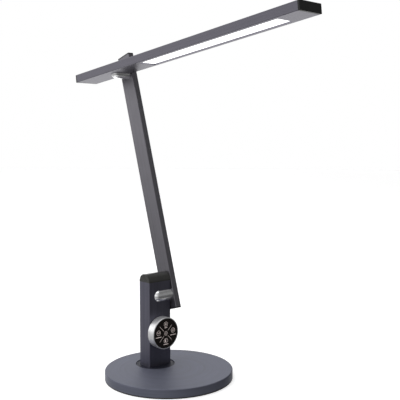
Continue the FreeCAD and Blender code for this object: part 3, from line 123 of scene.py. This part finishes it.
class Look:
    """A material around one Principled shader, with short calls for the nodes that vary it."""

    def __init__(self, name, **values):
        self.material = bpy.data.materials.new(name)
        self.material.use_nodes = True
        self.tree = self.material.node_tree
        self.shader = self.tree.nodes["Principled BSDF"]
        for word, value in values.items():
            self.feed(word.replace("_", " ").title().replace("Ior", "IOR"), value)

    def feed(self, socket, value):
        """Sets a socket of the shader, which is given by name."""
        self.put(self.shader.inputs[socket], value)

    def put(self, socket, value):
        """Sets a socket to a constant, or links an output to it."""
        if isinstance(value, bpy.types.NodeSocket):
            self.tree.links.new(value, socket)
        elif socket.type == "RGBA" and len(value) == 3:
            socket.default_value = (*value, 1.0)
        else:
            socket.default_value = value

    def add(self, kind, inputs, **settings):
        """Adds a node, with its settings and inputs, and returns it."""
        node = self.tree.nodes.new(kind)
        for word, value in settings.items():
            setattr(node, word, value)
        for socket, value in inputs.items():
            self.put(node.inputs[socket], value)
        return node

    def spot(self):
        """The point on the surface, in metres in the lamp's own frame."""
        return self.add("ShaderNodeTexCoord", {}).outputs["Object"]

    def moved(self, vector, shift=(0, 0, 0), turn=(0, 0, 0), scale=(1, 1, 1)):
        """A vector that is scaled, then turned, then shifted."""
        inputs = {"Vector": vector, "Location": shift, "Rotation": turn, "Scale": scale}
        return self.add("ShaderNodeMapping", inputs).outputs["Vector"]

    def noise(self, vector, scale, detail=3.0, rough=0.5):
        """Cloudy noise; scale counts its clouds per unit of the vector."""
        inputs = {"Vector": vector, "Scale": scale, "Detail": detail, "Roughness": rough}
        return self.add("ShaderNodeTexNoise", inputs).outputs["Fac"]

    def cells(self, vector, scale, feature="F1"):
        """The distance from the middles of scattered cells, or from their edges."""
        inputs = {"Vector": vector, "Scale": scale}
        return self.add("ShaderNodeTexVoronoi", inputs, feature=feature).outputs["Distance"]

    def math(self, operation, first, second):
        """The sum or product of two values, or another of Blender's operations on them."""
        return self.add("ShaderNodeMath", {0: first, 1: second}, operation=operation).outputs[0]

    def spread(self, factor, low, high, start=0.3, end=0.7):
        """Maps a factor from start..end to low..high."""
        inputs = {"Value": factor, "From Min": start, "From Max": end, "To Min": low, "To Max": high}
        return self.add("ShaderNodeMapRange", inputs).outputs["Result"]

    def tint(self, factor, first, second, start=0.3, end=0.7):
        """A colour that runs from first to second as factor runs from start to end."""
        node = self.add("ShaderNodeValToRGB", {"Fac": factor})
        stops = node.color_ramp.elements
        for stop, place, colour in ((stops[0], start, first), (stops[1], end, second)):
            stop.position = place
            stop.color = (*colour, 1.0)
        return node.outputs["Color"]

    def relief(self, *layers):
        """Bump from one or more layers, one on the other."""
        normal = None
        for layer in layers:
            inputs = {"Height": layer.height, "Strength": layer.strength, "Distance": layer.depth}
            if normal is not None:
                inputs["Normal"] = normal
            normal = self.add("ShaderNodeBump", inputs).outputs["Normal"]
        self.feed("Normal", normal)

    def along(self, turn, fine, long):
        """Coordinates for a grain along Z once the surface is turned: fine across it, long along it."""
        upright = self.moved(self.spot(), turn=turn)
        return self.moved(upright, scale=(fine, fine, long))

    def round(self, centre, turn, fine, long):
        """Coordinates for rings about an axis that a turn brings to Z: fine across, long along them."""
        upright = self.moved(self.moved(self.spot(), shift=-Vector(centre)), turn=turn)
        flat = self.moved(upright, scale=(1, 1, 0))
        radius = self.add("ShaderNodeVectorMath", {0: flat}, operation="LENGTH").outputs["Value"]
        way = self.add("ShaderNodeVectorMath", {0: flat}, operation="NORMALIZE").outputs[0]
        parts = self.add("ShaderNodeSeparateXYZ", {0: way}).outputs
        rise = self.add("ShaderNodeSeparateXYZ", {0: upright}).outputs[2]
        across = self.math("MULTIPLY", self.math("ADD", radius, rise), fine)
        first = self.math("MULTIPLY", parts[0], long)
        second = self.math("MULTIPLY", parts[1], long)
        return self.add("ShaderNodeCombineXYZ", {0: across, 1: first, 2: second}).outputs[0]


def lighter(colour, by):
    """A colour times a factor, no lighter than white."""
    return tuple(min(1.0, part * by) for part in colour)


# Shares of an anodised surface's unevenness.
STREAK_SHARE = 0.4
BAND_SHARE = 0.4
CLOUD_SHARE = 0.2


def anodised(name, grain_of, colour, metallic=0.9, rough=0.42, shine=0.5):
    """Satin anodised aluminium with a fine grain; grain_of gives the grain's coordinates."""
    look = Look(name, metallic=metallic, specular_ior_level=shine)
    grain = grain_of(look)
    streaks = look.noise(grain, scale=1.0, detail=4.0, rough=0.62)
    bands = look.noise(grain, scale=0.22, detail=3.0, rough=0.6)
    cloud = look.noise(look.spot(), scale=34.0, detail=3.0)
    streak_part = look.math("MULTIPLY", streaks, STREAK_SHARE)
    band_part = look.math("MULTIPLY", bands, BAND_SHARE)
    cloud_part = look.math("MULTIPLY", cloud, CLOUD_SHARE)
    uneven = look.math("ADD", look.math("ADD", streak_part, band_part), cloud_part)
    look.feed("Base Color", look.tint(uneven, lighter(colour, by=0.80), lighter(colour, by=1.20)))
    look.feed("Roughness", look.spread(uneven, low=rough - 0.05, high=rough + 0.05))
    pores = look.noise(look.spot(), scale=5200.0, detail=2.0)
    look.relief(
        Bump(streaks, strength=0.14, depth=0.06 * MM),
        Bump(pores, strength=0.12, depth=0.03 * MM))
    return look.material


def turned_silver(name, centre, turn, metallic=1.0, rough=0.21):
    """Satin silver with faint turning marks about an axis."""
    look = Look(name, metallic=metallic)
    marks = look.round(centre, turn, fine=2600.0, long=1.4)
    rings = look.noise(marks, scale=1.0, detail=3.0, rough=0.6)
    cloud = look.noise(look.spot(), scale=160.0, detail=4.0)
    look.feed("Base Color", look.tint(cloud, *SILVER))
    look.feed("Roughness", look.spread(rings, low=rough - 0.05, high=rough + 0.06))
    look.relief(
        Bump(rings, strength=0.10, depth=0.04 * MM),
        Bump(cloud, strength=0.05, depth=0.2 * MM))
    return look.material


def moulded(name, colour, rough=0.42, depth=0.06 * MM, fineness=1500.0, shine=0.3):
    """Moulded plastic with a spark texture of some depth and fineness, and slight cloudiness."""
    look = Look(name, specular_ior_level=shine)
    spark = look.cells(look.spot(), scale=fineness)
    cloud = look.noise(look.spot(), scale=60.0, detail=4.0)
    look.feed("Base Color", look.tint(cloud, lighter(colour, by=0.8), lighter(colour, by=1.25)))
    look.feed("Roughness", look.spread(cloud, low=rough - 0.05, high=rough + 0.07))
    look.relief(Bump(spark, strength=0.25, depth=depth))
    return look.material


def plain_metal(name, colour, rough, fineness=300.0, depth=0.08 * MM):
    """Bare, plated or cast metal with a soft uneven surface and a grain nine times as fine."""
    look = Look(name, metallic=1.0)
    cloud = look.noise(look.spot(), scale=fineness, detail=5.0, rough=0.6)
    grain = look.noise(look.spot(), scale=fineness * 9, detail=2.0)
    look.feed("Base Color", look.tint(cloud, lighter(colour, by=0.78), lighter(colour, by=1.12)))
    look.feed("Roughness", look.spread(cloud, low=rough - 0.07, high=rough + 0.1))
    look.relief(Bump(grain, strength=0.2, depth=depth))
    return look.material


def glass_black():
    """The dial's glossy black face."""
    look = Look("dial_glass", specular_ior_level=0.35)
    haze = look.noise(look.spot(), scale=90.0, detail=4.0)
    look.feed("Base Color", look.tint(haze, *GLASS_BLACK))
    look.feed("Roughness", look.spread(haze, low=0.06, high=0.14))
    look.relief(Bump(haze, strength=0.04, depth=0.4 * MM))
    return look.material


def print_ink_painted_glow():
    """Pale print with a slightly uneven ink, and a faint painted glow that makes it brighter."""
    # The emission is painted light: the print's own colour glows faintly so that it reads brighter.
    look = Look("dial_ink_painted_glow", roughness=0.55, emission_strength=0.22)
    speckle = look.noise(look.spot(), scale=2400.0, detail=3.0)
    ink = look.tint(speckle, *INK)
    look.feed("Base Color", ink)
    look.feed("Emission Color", ink)
    look.relief(Bump(speckle, strength=0.2, depth=0.02 * MM))
    return look.material


def rubber():
    """Dull black rubber with a fine open texture."""
    look = Look("grip_rubber", sheen_weight=0.2, sheen_roughness=0.5)
    pores = look.noise(look.spot(), scale=1800.0, detail=4.0, rough=0.7)
    dust = look.noise(look.spot(), scale=40.0, detail=4.0)
    look.feed("Base Color", look.tint(dust, *RUBBER_BLACK))
    look.feed("Roughness", look.spread(pores, low=0.72, high=0.92))
    look.relief(Bump(pores, strength=0.4, depth=0.1 * MM))
    return look.material


def lit_panel():
    """The frosted light panel, lit from within, with a slow drift in its light."""
    look = Look("lit_diffuser", roughness=0.5)
    frost = look.noise(look.spot(), scale=1400.0, detail=3.0)
    drift = look.noise(look.spot(), scale=9.0, detail=2.0)
    look.feed("Base Color", look.tint(frost, *FROST))
    look.feed("Emission Color", look.tint(drift, *PANEL_GLOW))
    look.feed("Emission Strength", look.spread(drift, low=1.5, high=1.8))
    look.relief(Bump(frost, strength=0.2, depth=0.05 * MM))
    return look.material


def circuit_board():
    """Green solder mask over faint copper runs."""
    look = Look("board_mask", coat_weight=0.5, coat_roughness=0.1)
    tall = look.moved(look.spot(), scale=(1, 1, 0.4))
    runs = look.cells(tall, scale=420.0, feature="DISTANCE_TO_EDGE")
    look.feed("Base Color", look.tint(runs, *BOARD_GREEN, start=0.02, end=0.12))
    look.feed("Roughness", look.spread(runs, low=0.25, high=0.42, start=0.0, end=0.2))
    look.relief(Bump(runs, strength=0.3, depth=0.1 * MM))
    return look.material


def clear_plastic():
    """The clear light guide, with its printed dots as a fine relief."""
    look = Look("clear_guide", ior=1.49, transmission_weight=0.85)
    dots = look.cells(look.spot(), scale=700.0)
    look.feed("Base Color", look.tint(dots, *GUIDE_CLEAR))
    look.feed("Roughness", look.spread(dots, low=0.05, high=0.3))
    look.relief(Bump(dots, strength=0.3, depth=0.08 * MM))
    return look.material


def foam():
    """Open black foam."""
    look = Look("foam_cells", roughness=0.95)
    holes = look.cells(look.spot(), scale=900.0)
    look.feed("Base Color", look.tint(holes, *FOAM_BLACK, start=0.1, end=0.6))
    look.relief(Bump(holes, strength=0.9, depth=0.6 * MM))
    return look.material


def dress(node, material):
    """Gives a node of the frame a material."""
    for slot in NODES[node].material_slots:
        slot.material = material


# Turns that bring an axis to Z.
FROM_X = (0, -math.pi / 2, 0)
FROM_Y = (math.pi / 2, 0, 0)
FROM_Z = (0, 0, 0)
FROM_ARM = (ARM_LEAN, 0, 0)
FROM_HEAD = (math.pi / 2 - HEAD_DIP, 0, 0)

# How fine a grain is across, and how slowly it changes along.
BRUSH_FINE = 900.0
BRUSH_LONG = 14.0
DISC_FINE = 900.0
BASE_FINE = 420.0
TURNED_LONG = 0.8


def slot_looks():
    """The material of each slot."""
    return {
        "zinc_steel": plain_metal("zinc_plate", ZINC, rough=0.32),
        "cast_alloy": plain_metal("die_cast", ALLOY, rough=0.48, fineness=220.0, depth=0.2 * MM),
        "black_plastic": moulded("black_moulding", MOULDING_BLACK),
        "gloss_black": glass_black(),
        "rubber": rubber(),
        "lead_jacket": moulded(
            "lead_sleeve", SLEEVE_BLACK, rough=0.5, depth=0.03 * MM, fineness=900.0),
        "acetal": moulded("acetal_bearing", ACETAL_BLACK, rough=0.36, depth=0.02 * MM),
        "board_green": circuit_board(),
        "component_black": moulded("component_case", CASE_BLACK, rough=0.38),
        "brass": plain_metal("brass_turned", BRASS, rough=0.28),
        "magnet": plain_metal("sintered_magnet", MAGNET_GREY, rough=0.55),
        "diffuser": lit_panel(),
        "clear_acrylic": clear_plastic(),
        "white_plastic": moulded("white_film", FILM_WHITE, rough=0.45, depth=0.02 * MM),
        "led_yellow": moulded("phosphor", PHOSPHOR_YELLOW, rough=0.3, depth=0.02 * MM),
        "foam": foam(),
    }


def brushed(turn):
    """A grain that runs along a tube, for anodised."""
    return lambda look: look.along(turn, BRUSH_FINE, BRUSH_LONG)


def lathed(centre, fine):
    """A grain that runs round an upright axis, for anodised."""
    return lambda look: look.round(centre, FROM_Z, fine, TURNED_LONG)


def own_looks():
    """The materials of the outer metal parts and the post's cap, each with its own grain or colour."""
    looks = {
        "base_cover": anodised(
            "base_anodised", lathed((0, 0, 0), BASE_FINE), BASE_GREY, metallic=0.45, rough=0.55),
        "post_tube": anodised("post_anodised", brushed(FROM_Z), POST_GREY),
        "arm_tube": anodised("arm_anodised", brushed(FROM_ARM), ARM_GREY),
        "head_housing": anodised("head_anodised", brushed(FROM_HEAD), HEAD_GREY),
        "turntable_disc": anodised(
            "disc_anodised", lathed(SWIVEL, DISC_FINE), DISC_DARK,
            metallic=0.3, rough=0.55, shine=0.25),
        "dimmer_ring": turned_silver("ring_silver", DIAL, FROM_Y, metallic=0.65, rough=0.32),
        "post_cap": moulded(
            "post_cap_black", CAP_BLACK, rough=0.3, depth=0.03 * MM, shine=0.8),
    }
    for end, pivot in (("lower", LOWER_PIVOT), ("upper", UPPER_PIVOT)):
        looks[f"{end}_hinge_barrel"] = turned_silver(f"{end}_barrel_silver", pivot, FROM_X)
        looks[f"{end}_barrel_cap"] = turned_silver(f"{end}_cap_silver", pivot, FROM_X)
    return looks


def dress_frame():
    """Gives every node of the frame its own material, or that of its slot."""
    looks = slot_looks()
    own = own_looks()
    for node in NODES:
        dress(node, own.get(node) or looks[SLOTS[node]])


# ---------------------------------------------------------------- mesh helpers

def piece(name, mesh, material, body):
    """Makes an object of a bmesh, which it uses up, and lets it ride on a body."""
    bmesh.ops.recalc_face_normals(mesh, faces=mesh.faces)
    data = bpy.data.meshes.new(name)
    mesh.to_mesh(data)
    mesh.free()
    thing = bpy.data.objects.new(name, data)
    bpy.context.scene.collection.objects.link(thing)
    data.materials.append(material)
    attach(thing, body)
    return thing


def closed_band(mesh, inner, outer, place, front, back):
    """A closed ring between two outlines of equal count; place turns (across, up, depth) to a point."""
    rows = []
    for outline, depth in ((outer, front), (inner, front), (inner, back), (outer, back)):
        rows.append([mesh.verts.new(place(across, up, depth)) for across, up in outline])
    count = len(inner)
    for row, after in zip(rows, rows[1:] + rows[:1]):
        for step in range(count):
            ahead = (step + 1) % count
            mesh.faces.new((row[step], row[ahead], after[ahead], after[step]))


def slab(mesh, outline, place, front, back):
    """A closed plate with an outline, between two depths."""
    near = [mesh.verts.new(place(across, up, front)) for across, up in outline]
    far = [mesh.verts.new(place(across, up, back)) for across, up in outline]
    mesh.faces.new(near)
    mesh.faces.new(list(reversed(far)))
    count = len(outline)
    for step in range(count):
        ahead = (step + 1) % count
        mesh.faces.new((near[step], far[step], far[ahead], near[ahead]))


def on_circle(centre, radius, angle):
    """The point of a flat circle at an angle."""
    return (centre[0] + radius * math.cos(angle), centre[1] + radius * math.sin(angle))


def circle(centre, radius, count=48):
    """The outline of a circle."""
    return [on_circle(centre, radius, math.tau * step / count) for step in range(count)]


def bar(start, end, width):
    """The outline of a straight stroke."""
    first, second = Vector(start), Vector(end)
    side = (second - first).normalized().orthogonal() * (width / 2)
    return [tuple(first + side), tuple(first - side), tuple(second - side), tuple(second + side)]


# ---------------------------------------------------------------- touch dial print

INK_PROUD = 0.05 * MM
INK_SUNK = 0.02 * MM
STROKE = 0.45 * MM
MARK_OUTER = 3.1 * MM
MARK_INNER = 1.3 * MM
ICON_RING = 3.7 * MM
DASH_HIGH = 1.0 * MM
CROSS_START = 5.6 * MM
CROSS_END = 17.0 * MM

SUN_RADIUS = 1.0 * MM
SUN_RAYS = 8
RAY_START = 1.5 * MM
RAY_END = 2.6 * MM

BOOK_HALF = 2.1 * MM
BOOK_TOP = 1.3 * MM
BOOK_LOW = 0.6 * MM
SPINE_DROP = 1.1 * MM
SPINE_LONG = 1.7 * MM
SPINE_STROKE = 0.4 * MM
PAGE_GAP = 0.3 * MM

SCREEN_HALF = 2.0 * MM
SCREEN_OVER = 2.2 * MM
SCREEN_HIGH = 1.2 * MM
SCREEN_LIFT = 0.4 * MM
STAND_HALF = 1.2 * MM
STAND_DROP = 1.9 * MM

MOON_RADIUS = 2.3 * MM
MOON_BULGE = 1.1 * MM
MOON_STEPS = 16
MOON_START = math.radians(60)
MOON_SWEEP = math.radians(240)


def dial_place(across, up, depth):
    """A point on the dial's face, with depth counted out of it."""
    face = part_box("touch_panel")[0].y
    return Vector((DIAL.x + across, face - depth, DIAL.z + up))


def ink_ring(mesh, centre, radius):
    """A thin printed ring about a radius."""
    inner = circle(centre, radius - STROKE / 2)
    outer = circle(centre, radius + STROKE / 2)
    closed_band(mesh, inner, outer, dial_place, INK_PROUD, -INK_SUNK)


def ink_shape(mesh, outline):
    """A printed shape with an outline."""
    slab(mesh, outline, dial_place, INK_PROUD, -INK_SUNK)


def ink_bar(mesh, start, end, width=STROKE):
    """A printed stroke."""
    ink_shape(mesh, bar(start, end, width))


def icon_sun(mesh, centre):
    """A small disc with short rays."""
    ink_shape(mesh, circle(centre, SUN_RADIUS, 32))
    for ray in range(SUN_RAYS):
        angle = math.tau * ray / SUN_RAYS
        ink_bar(mesh, on_circle(centre, RAY_START, angle), on_circle(centre, RAY_END, angle))


def icon_book(mesh, centre):
    """An open book: two slanting pages that meet at a spine."""
    spine = centre - Vector((0, SPINE_DROP))
    spine_top = spine + Vector((0, SPINE_LONG))
    for side in (-1, 1):
        top = centre + Vector((side * BOOK_HALF, BOOK_TOP))
        low = centre + Vector((side * BOOK_HALF, -BOOK_LOW))
        ink_bar(mesh, low, top)
        ink_bar(mesh, spine, low)
        ink_bar(mesh, spine_top + Vector((side * PAGE_GAP, 0)), top)
    ink_bar(mesh, spine, spine_top, SPINE_STROKE)


def icon_screen(mesh, centre):
    """A screen on a short stand."""
    heart = centre + Vector((0, SCREEN_LIFT))
    rise = Vector((0, SCREEN_HIGH))
    reach = Vector((SCREEN_OVER, 0))
    for side in (-1, 1):
        post = heart + Vector((side * SCREEN_HALF, 0))
        ink_bar(mesh, post - rise, post + rise)
        rail = heart + side * rise
        ink_bar(mesh, rail - reach, rail + reach)
    stand = centre - Vector((0, STAND_DROP))
    half = Vector((STAND_HALF, 0))
    ink_bar(mesh, stand - half, stand + half)


def icon_moon(mesh, centre):
    """A crescent: an arc, closed by a flatter one."""
    outer, inner = [], []
    for step in range(MOON_STEPS + 1):
        outer.append(on_circle(centre, MOON_RADIUS, MOON_START + MOON_SWEEP * step / MOON_STEPS))
    start, end = Vector(outer[0]), Vector(outer[-1])
    for step in range(1, MOON_STEPS):
        share = step / MOON_STEPS
        bulge = Vector((math.sin(math.pi * share) * MOON_BULGE, 0))
        inner.append(tuple(end.lerp(start, share) - bulge))
    ink_shape(mesh, outer + inner)


# Each icon's drawing, its centre (across, up), the drop to its dash and the dash's length, in mm.
ICONS = (
    (icon_sun, (0, 14.7), 5.6, 5.6),
    (icon_book, (-14.5, 2.6), 7.0, 11.0),
    (icon_screen, (14.5, 2.6), 7.0, 11.0),
    (icon_moon, (0, -11.8), 5.7, 9.6),
)


def make_dial_print():
    """The dial's generic symbols: a centre mark, a thin cross and four icons with a dash below each."""
    mesh = bmesh.new()
    ink_ring(mesh, (0, 0), MARK_OUTER)
    ink_ring(mesh, (0, 0), MARK_INNER)
    for icon, spot, drop, long in ICONS:
        centre = Vector(spot) * MM
        ink_ring(mesh, centre, ICON_RING)
        icon(mesh, centre)
        dash = centre - Vector((0, drop)) * MM
        half = Vector((long / 2, 0)) * MM
        ink_bar(mesh, dash - half, dash + half, DASH_HIGH)
    for quarter in range(4):
        angle = math.tau * (quarter + 0.5) / 4
        ink_bar(mesh, on_circle((0, 0), CROSS_START, angle), on_circle((0, 0), CROSS_END, angle))
    piece("dial_print", mesh, print_ink_painted_glow(), "post")


# ---------------------------------------------------------------- grip pad

PAD_EDGE = 0.3 * MM
LIP_THICK = 0.8 * MM
GROOVE_DEEP = 0.45 * MM
GROOVE_HALF = 0.9 * MM
GROOVE_STEP = 6.0 * MM
GROOVE_COUNT = 13


def lathe(mesh, profile, count=128):
    """A closed solid turned about Z from (radius, level) points that start and end on the axis."""
    rows = []
    for radius, level in profile[1:-1]:
        rim = circle((0, 0), radius, count)
        rows.append([mesh.verts.new((x, y, level)) for x, y in rim])
    first = mesh.verts.new((0, 0, profile[0][1]))
    last = mesh.verts.new((0, 0, profile[-1][1]))
    for step in range(count):
        ahead = (step + 1) % count
        mesh.faces.new((first, rows[0][step], rows[0][ahead]))
        mesh.faces.new((last, rows[-1][ahead], rows[-1][step]))
        for row, after in zip(rows, rows[1:]):
            mesh.faces.new((row[step], after[step], after[ahead], row[ahead]))


def make_grip_pad(material):
    """The rubber pad under the base: a lip let into the base's foot and moulded grooves underneath."""
    low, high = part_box("base_grip_pad")
    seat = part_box("base_bottom_cover")[0].z
    rim = high.x
    profile = [
        (0, seat),
        (rim - LIP_THICK, seat),
        (rim - LIP_THICK, high.z),
        (rim, high.z),
        (rim, low.z + PAD_EDGE),
        (rim - PAD_EDGE, low.z),
    ]
    for step in range(1, GROOVE_COUNT + 1):
        spot = rim - step * GROOVE_STEP
        profile += [
            (spot + GROOVE_HALF, low.z),
            (spot + GROOVE_HALF / 2, low.z + GROOVE_DEEP),
            (spot - GROOVE_HALF / 2, low.z + GROOVE_DEEP),
            (spot - GROOVE_HALF, low.z),
        ]
    profile.append((0, low.z))
    mesh = bmesh.new()
    lathe(mesh, profile)
    pad = piece("grip_pad", mesh, material, "base")
    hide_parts("base_grip_pad")


# ---------------------------------------------------------------- studio

# Strengths of the surrounding light. HORIZON and the ranges are heights from -1 (straight down) to
# 1 (straight up), but DIM_RANGE and CARD_RANGE are how nearly a ray points that way, up to 1.
WALLS = 1.0
BELOW = 0.42
HORIZON = 0.12
OVERHEAD = 0.5
OVERHEAD_RANGE = (0.35, 0.85)
DIM_SIDE = Vector((0.62, -0.78, 0.0)).normalized()
DIM_LIGHT = 0.24
DIM_RANGE = (-0.2, 0.8)
LOW_CARD = Vector((0.52, 0.74, -0.42)).normalized()
CARD_LIGHT = 0.95
CARD_RANGE = (0.60, 0.96)
FLOOR_GLOW = 0.75
GLOW_RANGE = (-0.9, -0.5)

FLOOR_RADIUS = 9.0
FLOOR_SIDES = 96
FLOOR_LIGHT = 0.47

# The camera's angles are in degrees, and its sensor and lens in millimetres.
CAMERA_PLACE = (-0.6926, -0.8469, 0.3664)
CAMERA_DIP = 4.58
CAMERA_TURN = -41.83
CAMERA_SENSOR = 36.0
CAMERA_LENS = 63.95


def studio_world():
    """Soft studio light: bright walls, a dim side at the front right, a low card at the back right,
    a glow from straight below and a plain white backdrop."""
    world = bpy.data.worlds.new("studio")
    bpy.context.scene.world = world
    world.use_nodes = True
    tree = world.node_tree
    tree.nodes.clear()

    def add(kind, inputs, **settings):
        """Adds a node, with its settings and inputs, and returns it."""
        node = tree.nodes.new(kind)
        for word, value in settings.items():
            setattr(node, word, value)
        for socket, value in inputs.items():
            if isinstance(value, bpy.types.NodeSocket):
                tree.links.new(value, node.inputs[socket])
            else:
                node.inputs[socket].default_value = value
        return node

    def eased(value, span, low, high):
        """Runs smoothly from low to high as value crosses a span."""
        inputs = {"Value": value, "To Min": low, "To Max": high}
        inputs["From Min"], inputs["From Max"] = span
        return add("ShaderNodeMapRange", inputs, interpolation_type="SMOOTHSTEP").outputs["Result"]

    def combined(operation, first, second):
        """The sum or product of two strengths."""
        return add("ShaderNodeMath", {0: first, 1: second}, operation=operation).outputs[0]

    way = add("ShaderNodeTexCoord", {}).outputs["Generated"]
    rise = add("ShaderNodeSeparateXYZ", {0: way}).outputs[2]

    def toward(direction):
        """How nearly the ray points in a direction."""
        inputs = {0: way, 1: direction}
        return add("ShaderNodeVectorMath", inputs, operation="DOT_PRODUCT").outputs["Value"]

    walls = eased(rise, (-HORIZON, HORIZON), BELOW, WALLS)
    overhead = eased(rise, OVERHEAD_RANGE, 1.0, OVERHEAD)
    sides = eased(toward(DIM_SIDE), DIM_RANGE, 1.0, DIM_LIGHT)
    card = eased(toward(LOW_CARD), CARD_RANGE, 0.0, CARD_LIGHT)
    glow = eased(rise, GLOW_RANGE, FLOOR_GLOW, 0.0)
    room = combined("MULTIPLY", combined("MULTIPLY", walls, overhead), sides)
    strength = combined("ADD", combined("ADD", room, card), glow)
    soft = add("ShaderNodeBackground", {"Color": (*WHITE, 1.0), "Strength": strength})
    backdrop = add("ShaderNodeBackground", {"Color": (*WHITE, 1.0), "Strength": 1.0})
    seen = add("ShaderNodeLightPath", {}).outputs["Is Camera Ray"]
    mix = add("ShaderNodeMixShader", {0: seen, 1: soft.outputs[0], 2: backdrop.outputs[0]})
    add("ShaderNodeOutputWorld", {"Surface": mix.outputs[0]})


def area_light(name, place, aim, size, power):
    """A square white lamp at a place that shines at a point."""
    data = bpy.data.lights.new(name, "AREA")
    data.size = size
    data.energy = power
    light = bpy.data.objects.new(name, data)
    light.location = place
    light.rotation_euler = (Vector(aim) - Vector(place)).to_track_quat("-Z", "Y").to_euler()
    bpy.context.scene.collection.objects.link(light)


def make_floor():
    """A wide round pale floor that the lamp stands on, which leaves no tint or mirror image on it."""
    mesh = bmesh.new()
    bmesh.ops.create_circle(mesh, cap_ends=True, segments=FLOOR_SIDES, radius=FLOOR_RADIUS)
    data = bpy.data.meshes.new("floor")
    mesh.to_mesh(data)
    mesh.free()
    floor = bpy.data.objects.new("floor", data)
    bpy.context.scene.collection.objects.link(floor)
    look = Look("floor_pale", roughness=0.7)
    drift = look.noise(look.spot(), scale=1.5, detail=2.0)
    look.feed("Base Color", look.tint(drift, *FLOOR_PALE))
    look.feed("Emission Color", WHITE)
    look.feed("Emission Strength", FLOOR_LIGHT)
    data.materials.append(look.material)
    floor.visible_diffuse = False
    floor.visible_glossy = False


def make_camera():
    """A camera a little above the lamp's middle, to its front left, tipped slightly down."""
    data = bpy.data.cameras.new("camera")
    data.sensor_width = CAMERA_SENSOR
    data.lens = CAMERA_LENS
    camera = bpy.data.objects.new("camera", data)
    camera.location = CAMERA_PLACE
    camera.rotation_euler = (math.radians(90 - CAMERA_DIP), 0.0, math.radians(CAMERA_TURN))
    bpy.context.scene.collection.objects.link(camera)
    bpy.context.scene.camera = camera


def make_studio():
    """The surroundings, the floor, the lamps, the camera and the plain view of colours."""
    studio_world()
    make_floor()
    area_light("overhead", place=(-0.3, 0.3, 2.2), aim=(0, 0, 0.1), size=2.4, power=22.0)
    area_light("left_side", place=(-1.7, 2.6, 0.9), aim=(0, 0, 0.25), size=1.6, power=4.0)
    make_camera()
    bpy.context.scene.view_settings.view_transform = "Standard"


# ---------------------------------------------------------------- the scene

make_studio()
dress_frame()
make_dial_print()
make_grip_pad(rubber())
